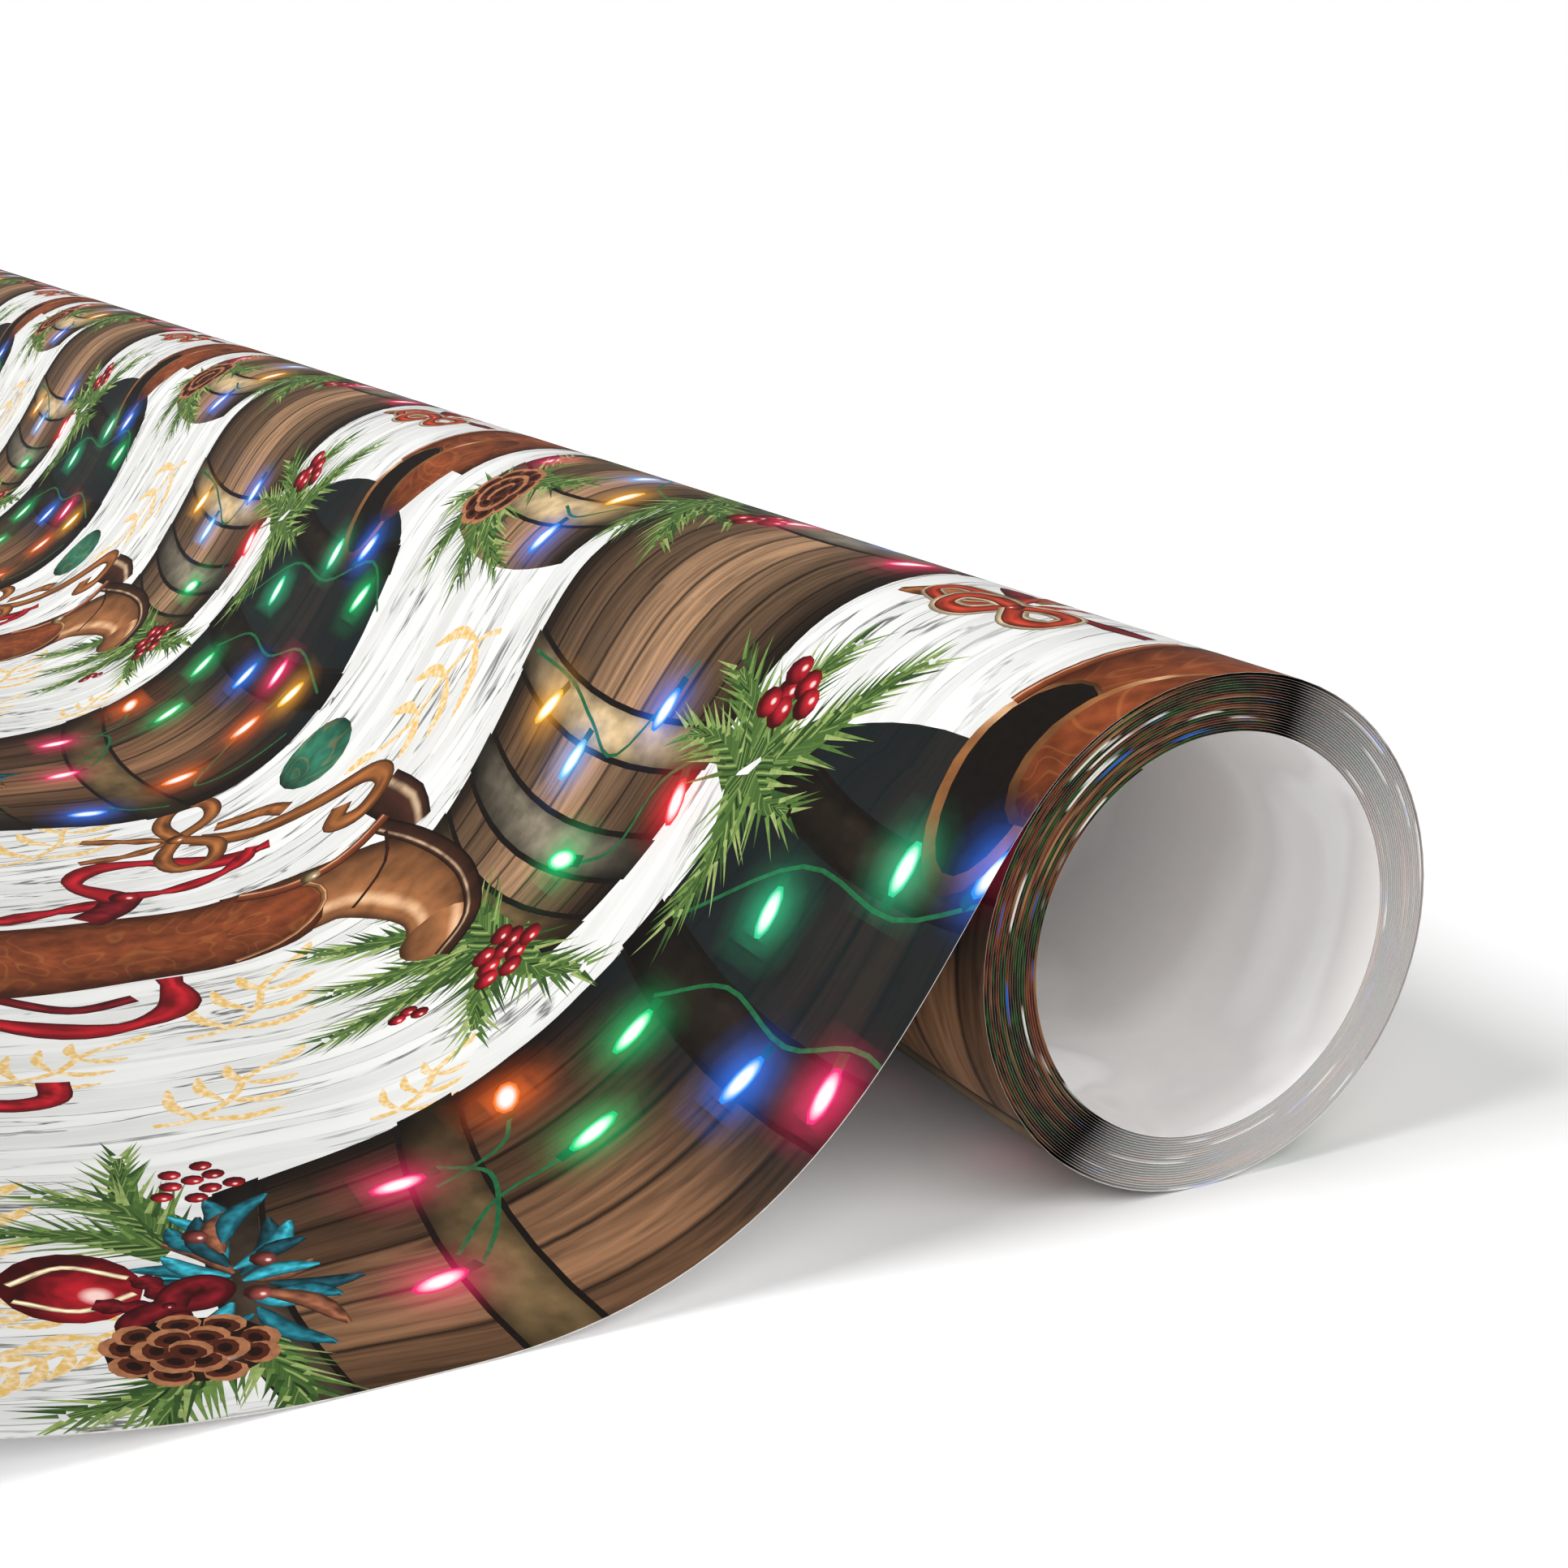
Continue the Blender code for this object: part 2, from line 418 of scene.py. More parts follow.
    def bow(self, centre, size, tint, spread, turn=0.0, width=0.085, lining=None):
        """Two loops, two tails and a knot. A lining shows along the loops' edges."""
        at = placed(centre, size, turn)
        for way in (-1, 1):
            tail = at((0, 0), (way * spread, -0.5), (way * spread * 1.6, -1.05))
            self.strip(tail, width * size, "ribbon", tint, 5, folded)
        for way in (-1, 1):
            loop = at((0, 0), (way * 0.45, 0.42), (way * 0.95, 0.36), (way, -0.02), (way * 0.55, -0.16),
                      (0, 0))
            if lining:
                self.strip(loop, 1.6 * width * size, "ribbon", lining)
            self.strip(loop, width * size, "ribbon", tint)
        self.disc(centre, 0.14 * size, 0.12 * size, "ball", tint, turn, 10)

    def crown_bow(self):
        """A small red bow with cream edges, gold-brown leaves and a long tail along the crown."""
        self.leaf((1.42, -0.06), (2.0, -0.2), 0.1, 0.085, CANE)
        self.leaf((1.38, 0.1), (1.72, 0.42), 0.12, 0.07, CANE)
        self.leaf((1.4, 0.02), (1.8, 0.2), 0.1, 0.07, DEEP_RED)
        self.strip([(1.4, 0.0), (1.05, 0.07), (0.6, 0.1)], 0.05, "ribbon", DEEP_RED, 4, folded)
        side_loop = [(1.36, -0.02), (1.6, -0.16), (1.86, -0.12), (1.82, 0.0), (1.58, 0.02), (1.36, -0.02)]
        self.strip(side_loop, 0.05, "ribbon", CREAM)
        self.strip(side_loop, 0.034, "ribbon", BROWN_RED)
        self.bow((1.35, -0.03), 0.33, BROWN_RED, 0.3, 3.0, 0.13, CREAM)

    def flourish(self, start, turn, size):
        """A gilt sprig: a waving stem with pairs of leaves, larger at its foot, and a bud."""
        at = placed(start, size, turn)
        stem = at((-0.12, -0.16), (0.05, 0.0), (0.4, 0.08), (0.75, 0.0), (1.05, 0.06))
        self.strip(stem, 0.018, "gilt", GOLD, 3)
        for number in range(3):
            along, reach = 0.08 + 0.3 * number, 0.42 - 0.08 * number
            for way in (-1, 1):
                root, tip = at((along, 0.04), (along + 0.8 * reach, 0.04 + way * reach))
                self.leaf(root, tip, 0.14 * way, 0.042 * size, GOLD, "gilt")
        self.leaf(*at((1.05, 0.06), (1.32, 0.12)), 0.1, 0.042 * size, GOLD, "gilt")

    def wheat(self, start, end):
        """A gilt ear: a stem with short grains on both sides."""
        start, end = Vector(start), Vector(end)
        run = end - start
        side = Vector((-run.y, run.x)).normalized()
        self.strip([start, end], 0.014, "gilt", GOLD, 1)
        count = self.choose(2, 4, 5)
        for number in range(count):
            root = start + run * (0.25 + 0.75 * number / count)
            for way in (-1, 1):
                tip = root + run.normalized() * 0.2 + side * way * 0.11
                self.leaf(root, tip, 0.1 * way, 0.024, GOLD, "gilt")

    def boot(self, ankle):
        """A tall boot on its side, toe to the left, with its sole up."""
        at = placed(ankle)
        self.strip(at((0.0, 0.5), (0.26, 0.58), (0.62, 0.56)), 0.15, "leather", LEATHER_HEEL, 2)
        foot = at((0.12, -0.5), (0.08, -0.15), (-0.1, 0.15), (-0.45, 0.29), (-0.8, 0.32), (-1.12, 0.22))
        self.strip(foot, 0.44, "leather", LEATHER_PALE, 5, boot_foot)
        self.disc(*at((-1.1, 0.22)), 0.19, 0.21, "leather", LEATHER_PALE, 0.5, 16)
        sole = at((0.3, 0.42), (-0.1, 0.5), (-0.5, 0.54), (-0.85, 0.52), (-1.16, 0.4), (-1.3, 0.16))
        self.strip(sole, 0.055, "leather", LEATHER_DARK, 4)
        self.strip(at((-0.3, 0.02), (-0.08, 0.3), (0.2, 0.42)), 0.012, "flat", SEAM, 3)
        shaft = at((0.12, -0.05), (0.09, -0.6), (0.12, -1.2), (0.1, -1.9))
        self.strip(shaft, 0.5, "tooled", LEATHER, 6, boot_shaft)
        edge = at((-0.33, -0.6), (-0.24, -0.28), (-0.02, -0.05), (0.26, -0.05), (0.46, -0.3))
        self.strip(edge, 0.02, "leather", LEATHER_PALE, 3)
        strap = at((0.34, 0.48), (0.3, 0.15), (0.36, -0.15), (0.5, -0.38))
        self.strip(strap, 0.055, "leather", LEATHER, 4)
        self.disc(*at((0.33, -0.02)), 0.07, 0.06, "ball", BRASS, 0, 8)

    def hat(self, top):
        """A leather hat seen from behind: its tooled crown, and the dark hollow under its curled brim."""
        at = placed(top)
        self.strip(at((0, 0), (0, -0.8), (0.02, -1.58)), 0.5, "tooled", LEATHER, 9, round_start)
        self.disc(*at((0.29, -1.93)), 0.3, 0.5, "leather", LEATHER_RIM, -0.1, 22)
        self.disc(*at((0.29, -1.9)), 0.245, 0.45, "flat", HAT_HOLLOW, -0.1, 22)
        self.disc(*at((-0.02, -1.58)), 0.255, 0.515, "leather", LEATHER_RIM, 0.2, 20)
        self.disc(*at((-0.05, -1.56)), 0.24, 0.5, "tooled", LEATHER, 0.2, 20)
        self.strip(at((0.5, -0.9), (0.49, -1.3), (0.55, -1.65)), 0.035, "leather", LEATHER, 4)

    def cane(self, start):
        """A curled gold-brown ribbon with a bow."""
        at = placed(start)
        curl = at((0.14, -0.2), (0.02, -0.3), (-0.1, -0.16), (-0.02, 0.06), (0.2, 0.02), (0.42, -0.3),
                  (0.62, -0.68), (0.86, -0.92))
        self.strip(curl, 0.075, "ribbon", CANE)
        self.strip(at((0.62, -0.42), (0.8, -0.52), (0.94, -0.78)), 0.06, "ribbon", CANE, 4)
        self.bow(*at((0.98, -1.0)), 0.5, CANE, 0.25, 0.2, 0.11)

    def wreath(self):
        """The cluster at the foot of the dark barrel: teal leaves, a bauble, a cone and pine."""
        for start, end, bend in (
            ((1.3, -4.35), (2.05, -4.42), -0.08), ((1.3, -4.4), (1.75, -4.75), 0.08),
            ((1.2, -4.4), (1.45, -4.95), 0.05), ((0.5, -4.3), (-0.2, -4.75), 0.08),
            ((0.5, -4.3), (-0.3, -4.35), -0.08), ((0.4, -4.4), (0.1, -4.95), -0.05),
        ):
            self.pine_branch(start, end, bend, 0.32)
        self.wheat((0.7, -4.6), (0.3, -5.25))
        self.wheat((0.7, -4.6), (0.95, -5.45))
        draw = self.draws.random
        for number in range(25):
            angle = -2.4 + 0.205 * number + 0.12 * draw()
            length = 0.24 + 0.26 * draw()
            out = Vector((math.cos(angle), 0.75 * math.sin(angle)))
            root = Vector((0.88 + 0.5 * draw() * out.x, -4.24 + 0.14 * draw() * out.y))
            tint = COPPER if number % 5 == 3 else TEAL[number % 3]
            self.leaf(root, root + length * out, 0.12 - 0.24 * (number % 2), 0.047, tint)
        for place in ((1.28, -4.3), (1.02, -4.12), (0.78, -4.2)):
            self.disc(place, 0.06, 0.05, "ball", BUD, 0, 8)
        self.disc((0.98, -4.79), 0.27, 0.24, "ball", RED, 0.0, 18)
        for x, bulge in ((1.02, 0.12), (0.9, -0.1)):
            self.strip([(x, -4.59), (x + bulge, -4.79), (x, -4.99)], 0.017, "ribbon", CREAM)
        self.bow((0.78, -4.5), 0.2, DEEP_RED, 0.4, 0.8, 0.3)
        self.pinecone((0.46, -4.5), 0.22, 0.28)
        self.berries((1.72, -4.2), 0.17, 9, 0.045)

    def barrels(self):
        """The three barrels and their strings of lights."""
        self.barrel(5.47, 2.6, -0.79, 1.12, WOOD_PALE, [(0.10, 0.17, HOOP_CREAM), (0.74, 0.82, HOOP_GREY)])
        self.string_lights([(4.4, -0.15), (4.95, -0.02), (5.5, 0.28), (6.5, 0.05)],
                           (0.3, 0.2, AMBER), (0.62, -0.3, SKY), (0.9, 0.3, PINK))
        self.string_lights([(4.7, -0.3), (5.0, -0.5), (5.25, -0.45)], (0.6, 0.1, BLUE))
        self.string_lights([(4.5, 1.5), (5.3, 1.2), (6.4, 1.55)],
                           (0.15, 0.2, GREEN), (0.5, -0.2, BLUE), (0.85, 0.2, LIT_RED))

        hoops = [(0.0, 0.05, HOOP_OLIVE), (0.112, 0.168, HOOP_GREY), (0.262, 0.318, HOOP_CREAM),
                 (0.66, 0.73, HOOP_GREY)]
        self.barrel(3.26, 1.5, -2.38, 1.16, WOOD_PALE, hoops)
        self.string_lights([(2.2, 0.2), (3.0, 0.55), (3.6, 0.35), (4.4, 0.15)],
                           (0.06, 0.5, PINK), (0.34, -0.2, BLUE), (0.66, 0.2, PINK))
        self.string_lights([(2.7, -0.95), (2.95, -1.5), (3.35, -1.42), (3.75, -1.3), (4.3, -1.25)],
                           (0.04, 0.1, BLUE), (0.46, 0.1, SKY), (0.74, 0.5, AMBER))
        self.string_lights([(2.15, -1.25), (2.45, -1.5), (2.5, -1.85), (2.7, -2.0)],
                           (0.16, -0.4, LIT_RED), (0.95, 1.3, GREEN))

        hoops = [(0.0, 0.06, HOOP_DARK), (0.25, 0.33, HOOP_OLIVE), (0.62, 0.70, HOOP_DARK),
                 (0.9, 0.96, HOOP_DARK)]
        self.barrel(0.57, -0.95, -4.16, 1.38, WOOD_DARK, hoops, 0.88)
        self.string_lights([(-0.7, -1.5), (-0.2, -1.25), (0.4, -1.5), (1.1, -1.5), (1.75, -1.95)],
                           (0.16, 0.4, GREEN), (0.36, -2.7, BLUE), (0.52, 3.1, MINT), (0.78, -0.2, MINT))
        self.string_lights([(-0.6, -2.1), (0.1, -1.95), (0.55, -2.1), (1.1, -2.05), (1.5, -2.25)],
                           (0.1, 0.4, AMBER), (0.30, -0.3, PINK), (0.52, 0.1, BLUE), (0.96, -0.1, GREEN))
        self.string_lights([(-0.65, -2.4), (-0.45, -3.0), (-0.1, -2.6), (-0.15, -2.2)],
                           (0.5, 0.3, ORANGE), (0.86, 0.2, ORANGE))
        self.string_lights([(0.72, -3.5), (1.0, -3.25), (1.05, -2.95)], (0.92, 3.0, GREEN))
        self.string_lights([(1.25, -3.4), (1.35, -3.1), (1.5, -3.0)], (0.95, 1.9, ORANGE))
        self.string_lights([(0.6, -3.45), (0.85, -3.3), (1.2, -3.2), (1.4, -3.35)],
                           (0.04, -0.3, PINK), (0.96, -0.1, PINK))
        self.string_lights([(-0.6, -3.2), (-0.45, -3.4), (-0.3, -3.5)], (0.7, 0.2, BLUE))

    def greenery(self):
        """Sprays of pine with berries and a cone."""
        for start, end, bend in (
            ((1.75, -1.25), (1.2, -0.55), 0.05), ((1.8, -1.2), (1.72, -0.6), -0.05),
            ((1.85, -1.25), (2.35, -0.9), 0.05), ((1.9, -1.3), (2.45, -1.25), 0.06),
            ((1.85, -1.3), (1.75, -1.95), -0.05), ((1.8, -1.25), (1.4, -1.35), 0.05),
            ((2.75, -2.45), (2.1, -2.35), 0.08), ((2.75, -2.5), (2.3, -2.85), 0.05),
            ((2.8, -2.5), (2.85, -3.35), 0.08), ((2.85, -2.5), (3.3, -3.2), 0.06),
            ((2.9, -2.5), (3.8, -3.15), 0.1), ((2.85, -2.5), (3.75, -2.7), 0.1),
            ((4.4, 0.1), (3.85, -0.1), 0.05), ((4.4, 0.1), (4.0, -0.45), 0.05),
            ((4.4, 0.1), (4.5, -0.45), 0.05), ((4.4, 0.1), (4.85, 0.35), 0.05),
            ((6.0, -0.55), (5.35, -0.95), 0.08), ((6.0, -0.5), (5.75, -1.1), 0.05),
            ((6.1, -0.5), (6.25, -1.05), 0.05), ((6.1, -0.45), (6.5, -0.7), 0.05),
            ((6.0, -0.35), (5.5, -0.2), 0.05), ((6.1, -0.3), (6.35, 0.05), 0.05),
        ):
            self.pine_branch(start, end, bend, 0.34)
        self.berries((1.85, -0.9), 0.16, 6, 0.08)
        self.berries((2.68, -2.52), 0.17, 9, 0.065)
        self.berries((2.75, -3.0), 0.07, 3, 0.045)
        self.berries((3.8, 0.05), 0.15, 6, 0.08)
        self.pinecone((6.13, -0.52), 0.29, 0.27)

    def boot_with_ribbons(self):
        """The boot and the red ribbons round it."""
        self.strip([(3.98, -4.6), (3.75, -4.3), (3.8, -4.0)], 0.05, "ribbon", DEEP_RED)
        curl = [(3.98, -4.9), (3.62, -4.6), (3.45, -4.2), (3.6, -3.85), (4.0, -3.8)]
        self.strip(curl, 0.1, "ribbon", RED, 5, folded)
        self.boot((4.38, -2.87))
        self.strip([(5.05, -4.6), (5.2, -4.2), (5.25, -3.75)], 0.085, "ribbon", RED, 5, folded)
        self.strip([(5.0, -4.0), (5.12, -3.85), (5.3, -3.75)], 0.11, "ribbon", DEEP_RED, 4)
        loop = [(5.3, -3.78), (5.62, -3.95), (5.85, -3.8), (5.8, -3.5), (5.5, -3.2), (5.42, -2.92)]
        self.strip(loop, 0.09, "ribbon", RED, 5, folded)
        self.strip([(5.3, -3.72), (5.28, -3.45), (5.35, -3.15), (5.5, -3.0)], 0.07, "ribbon", RED, 5, folded)
        self.disc((5.3, -3.75), 0.09, 0.08, "ball", RED, 0, 10)
        self.strip([(2.72, -4.95), (2.66, -4.72), (2.72, -4.55), (2.9, -4.52)], 0.07, "ribbon", RED)

    def draw_repeat(self):
        """One repeat of the print, from its bottom layer up."""
        for start, turn, size in (
            ((5.0, -1.3), -1.2, 0.9), ((1.95, -3.35), 0.9, 0.45), ((2.3, -4.1), 0.75, 0.65),
            ((3.2, -3.75), 0.6, 0.75), ((2.9, -4.7), 0.9, 0.6), ((6.15, -4.1), 0.5, 0.8),
            ((1.2, -5.3), 0.3, 0.9), ((2.4, -5.9), 0.7, 0.9), ((3.9, -5.9), -0.5, 0.8),
        ):
            self.flourish(start, turn, size)
        self.barrels()
        self.hat((0.0, 1.08))
        self.crown_bow()
        self.greenery()
        self.boot_with_ribbons()
        self.disc((6.04, -2.38), 0.3, 0.27, "tooled", GREEN_BALL, 0.0, 18)
        self.cane((5.1, -2.3))
        self.wreath()


def moved(shape, dx, dy):
    """A copy of a shape at another place in the print."""
    outline = [(x + dx, y + dy) for x, y in shape.outline]
    return Shape(outline, shape.paint, shape.tint, lambda x, y: shape.local(x - dx, y - dy))


def on_paper(points, low, high):
    """Whether any of a shape may lie on the paper between two heights."""
    xs, ys = [p[0] for p in points], [p[1] for p in points]
    return max(xs) > 0 and min(xs) < WIDTH and max(ys) > low and min(ys) < high


def spread_print(low, high):
    """Every copy of the print's shapes and glows that falls on the paper between two heights."""
    brushes = [Brush(detail) for detail in range(len(DETAIL_REACH) + 1)]
    for brush in brushes:
        brush.draw_repeat()
    shapes, glows = [], []
    for row in range(math.floor(low / REPEAT), math.ceil(high / REPEAT) + 2):
        for column in range(-1, math.ceil(WIDTH / REPEAT) + 1):
            dx, dy = column * REPEAT, row * REPEAT
            brush = brushes[detail_at(dx)]
            copies = [moved(shape, dx, dy) for shape in brush.shapes]
            shapes += [copy for copy in copies if on_paper(copy.outline, low, high)]
            glows += [Glow((g.place[0] + dx, g.place[1] + dy), g.colour) for g in brush.glows]
    return shapes, [g for g in glows if on_paper([g.place], low - 1, high + 1)]


# ---------------------------------------------------------------- the printed side's lines, from the near end


def round_axis(radius, turn):
    """A point in X and Z at a radius from the roll's axis."""
    angle = math.tau * turn
    return Vector((AXIS_X + radius * math.cos(angle), AXIS_Z + radius * math.sin(angle)))


def wrap_radius(turn):
    """The radius of the outer wrap's printed side."""
    return ROLL_RADIUS - WRAP_PITCH * (WRAP_END_TURN - turn)


def coil_radius(turn):
    """The radius of the coil's printed side, which ends just inside where the wrap begins."""
    inner = BORE_RADIUS + PAPER
    outer = wrap_radius(COIL_END_TURN) - PAPER - COIL_CLEARANCE
    return inner + (outer - inner) * (turn - INNER_END_TURN) / COIL_TURNS


def wound_line(first, last, steps_per_turn, radius_at):
    """A line round the roll between two places, in turns."""
    steps = round((last - first) * steps_per_turn)
    turns = [first + (last - first) * step / steps for step in range(steps + 1)]
    return [round_axis(radius_at(turn), turn) for turn in turns]


def lead_line():
    """From the roll's surface, down and out to lie flat on the floor."""
    angle = math.tau * DEPARTURE_TURN
    start = round_axis(wrap_radius(WRAP_END_TURN), DEPARTURE_TURN)
    end = Vector((FOOT_START_X, FLOOR_GAP))
    start_pull = start + LEAD_START_PULL * Vector((-math.sin(angle), math.cos(angle)))
    end_pull = end + Vector((LEAD_END_PULL, 0.0))
    line = []
    for step in range(LEAD_STEPS + 1):
        t = step / LEAD_STEPS
        u = 1 - t
        line.append(u**3 * start + 3 * u * u * t * start_pull + 3 * u * t * t * end_pull + t**3 * end)
    return line


def wave_line():
    """The low wave, from the flat foot over its crest to the free edge."""
    height = CREST_Z - FLOOR_GAP
    shares = [step / WAVE_STEPS for step in range(WAVE_STEPS + 1)]
    return [
        Vector((WAVE_START_X - 2 * WAVE_HALF * share, FLOOR_GAP + height * math.sin(math.pi * share) ** 2))
        for share in shares
    ]


def reach_along(line):
    """How far each point lies from the line's start, in roll radii."""
    reach = [0.0]
    for a, b in zip(line, line[1:]):
        reach.append(reach[-1] + (b - a).length / ROLL_RADIUS)
    return reach


def sheet_line():
    """The printed side's line from inside the wrap to the free edge, and each point's height on the paper,
    which is 0 at the roll's crown."""
    wrap = wound_line(COIL_END_TURN, WRAP_END_TURN, WRAP_STEPS, wrap_radius)
    line = wrap + lead_line()[1:] + wave_line()
    reach = reach_along(line)
    crown = reach[round((CROWN_TURN - COIL_END_TURN) * WRAP_STEPS)]
    return line, [crown - r for r in reach]


# ---------------------------------------------------------------- from lines and shapes to a paper solid

# The material slots that every piece begins with
BARE, BACK, EDGE, COVERED_BACK = range(4)


def line_normals(line):
    """The direction out of the printed side at each point, long enough to keep the paper's thickness."""
    normals = []
    for before, after in runs_at_points(line):
        along = (before + after).normalized()
        normal = Vector((along.y, -along.x))
        normals.append(normal / normal.dot(Vector((before.y, -before.x))))
    return normals


def cut_flat_sheet(heights, shapes, glows):
    """The flat rectangle of paper cut along every outline and every height. It returns the points, the
    triangles, and for each triangle the number of the shape that shows, or -1 for bare paper."""
    points, edges, faces = [], [], []

    def add(loop):
        first = len(points)
        points.extend(Vector(p) for p in loop)
        return list(range(first, len(points)))

    low, high = min(heights), max(heights)
    faces.append(add([(0, low), (WIDTH, low), (WIDTH, high), (0, high)]))
    edges += [tuple(add([(0, y), (WIDTH, y)])) for y in heights]
    faces += [add(shape.outline) for shape in shapes]
    for glow in glows:
        for share, corners in GLOW_RINGS[detail_at(glow.place[0])]:
            radius = share * GLOW_REACH
            loop = add([(glow.place[0] + radius * math.cos(math.tau * i / corners),
                         glow.place[1] + radius * math.sin(math.tau * i / corners))
                        for i in range(corners)])
            edges += list(zip(loop, loop[1:] + loop[:1]))
    places, _, triangles, _, _, owners = delaunay_2d_cdt(points, edges, faces, 1, CUT_SNAP)
    kept = [(face, max(own) - 1) for face, own in zip(triangles, owners) if 0 in own]
    used = sorted({corner for face, _ in kept for corner in face})
    renumber = {old: new for new, old in enumerate(used)}
    flat = np.array([places[i][:2] for i in used], float)
    triangles = np.array([[renumber[c] for c in face] for face, _ in kept], int)
    return flat, triangles, np.array([top for _, top in kept], int)


def thickness_at(height):
    """The paper's thickness: thin on the roll, and growing down the lead."""
    share = min(1.0, max(0.0, (-height - THICKENING_START) / THICKENING_LENGTH))
    return PAPER + (SHEET_PAPER - PAPER) * share


def paper_piece(name, line, heights, shapes, glows, paints, open_back, bare="ground", edge="edge"):
    """A closed solid of paper along a line, which its printed side follows. That side is cut along the
    shapes, and each face has the material of the shape that shows there. The back shows for the first
    open_back steps of the line, and lies against the next turn after that."""
    flat, triangles, tops = cut_flat_sheet(heights, shapes, glows)
    for side in (0.0, WIDTH):
        flat[:, 0][np.abs(flat[:, 0] - side) < SIDE_SNAP] = side
    out = line_normals(line)
    order = np.argsort(heights)
    rising = np.array(heights)[order]

    def blended(vectors):
        """The line's vectors, at the height of each flat point."""
        table = np.array([tuple(v) for v in vectors])[order]
        return np.stack([np.interp(flat[:, 1], rising, table[:, axis]) for axis in (0, 1)], axis=1)

    section = blended(line)
    top = np.stack([section[:, 0], NEAR_Y + flat[:, 0] * ROLL_RADIUS, section[:, 1]], axis=1)
    backs = [p - n * thickness_at(height) for p, n, height in zip(line, out, heights)]
    under = np.array([(back.x, y, back.y) for back in backs for y in (NEAR_Y, FAR_Y)])
    points = np.concatenate([top, under])

    near = list(range(len(top), len(points), 2))
    far = list(range(len(top) + 1, len(points), 2))
    unders, walls = [], []
    sides = zip(chains_between(flat, 0.0, heights), chains_between(flat, WIDTH, heights))
    for i, (near_chain, far_chain) in enumerate(sides):
        unders.append([near[i], near[i + 1], far[i + 1], far[i]])
        walls.append([near[i]] + near_chain + [near[i + 1]])
        walls.append([far[i + 1]] + far_chain[::-1] + [far[i]])
    walls.append([far[0]] + cross_chain(flat, heights[0])[::-1] + [near[0]])
    walls.append([near[-1]] + cross_chain(flat, heights[-1]) + [far[-1]])

    mesh = bpy.data.meshes.new(name)
    mesh.from_pydata(points.tolist(), [], triangles[:, ::-1].tolist() + unders + walls)
    names = sorted(set(shape.paint for shape in shapes))
    slots = [bare, "back", edge, "covered_back"] + [n for n in names if n != bare]
    for slot in slots:
        mesh.materials.append(paints[slot])
    chosen = [slots.index(shapes[t].paint) if t >= 0 else BARE for t in tops]
    chosen += [BACK] * open_back + [COVERED_BACK] * (len(unders) - open_back) + [EDGE] * len(walls)
    mesh.polygons.foreach_set("material_index", np.array(chosen, np.int32))
    add_print_attributes(mesh, flat, heights, triangles, tops, shapes, glows)
    set_paper_normals(mesh, blended(out), [Vector(n).normalized() for n in out], len(triangles))
    return add_object(name, mesh)


def chains_between(flat, side, heights):
    """The points on one side edge between each two neighbouring heights, both ends included."""
    on_side = np.nonzero(flat[:, 0] == side)[0]
    on_side = on_side[np.argsort(-flat[on_side, 1])]
    level = flat[on_side, 1]
    return [on_side[(level < upper + HEIGHT_SNAP) & (level > lower - HEIGHT_SNAP)].tolist()
            for upper, lower in zip(heights, heights[1:])]


def cross_chain(flat, height):
    """The points along one end of the sheet, from the near side to the far side."""
    on_end = np.nonzero(np.abs(flat[:, 1] - height) < HEIGHT_SNAP)[0]
    return on_end[np.argsort(flat[on_end, 0])].tolist()


def add_print_attributes(mesh, flat, heights, triangles, tops, shapes, glows):
    """Print place and glow at each point, and tint and local place at each corner."""

    def add(name, kind, domain, values):
        data = mesh.attributes.new(name, kind, domain).data
        data.foreach_set("color" if kind == "FLOAT_COLOR" else "vector", values.ravel())

    place = np.zeros((len(mesh.vertices), 3), np.float32)
    place[: len(flat), :2] = flat
    place[len(flat) :, :2] = [(x, y) for y in heights for x in (0.0, WIDTH)]
    glow = np.zeros((len(mesh.vertices), 4), np.float32)
    glow[:, 3] = 1.0
    for lit in glows:
        near = np.hypot(flat[:, 0] - lit.place[0], flat[:, 1] - lit.place[1]) / GLOW_REACH
        close = np.nonzero(near < GLOW_EDGE)[0]
        fall = np.exp(-GLOW_FALL * near[close] ** 2) - math.exp(-GLOW_FALL * GLOW_EDGE**2)
        glow[close, :3] += GLOW_STRENGTH * fall[:, None] * np.array(lit.colour)[None, :]
    tint = np.ones((len(mesh.loops), 4), np.float32)
    local = np.zeros((len(mesh.loops), 3), np.float32)
    local[:, 2] = 1.0
    loop_points = triangles[:, ::-1].ravel()
    order = np.argsort(tops, kind="stable")
    starts = np.searchsorted(tops[order], np.arange(len(shapes) + 1))
    for shape, first, last in zip(shapes, starts, starts[1:]):
        if first == last:
            continue
        loops = (3 * order[first:last, None] + np.arange(3)[None, :]).ravel()
        where = flat[loop_points[loops]]
        tint[loops, :3] = shape.tint
        local[loops] = np.stack(shape.local(where[:, 0], where[:, 1]), axis=1)
    add("print_place", "FLOAT_VECTOR", "POINT", place)
    add("glow", "FLOAT_COLOR", "POINT", glow)
    add("tint", "FLOAT_COLOR", "CORNER", tint)
    add("local", "FLOAT_VECTOR", "CORNER", local)


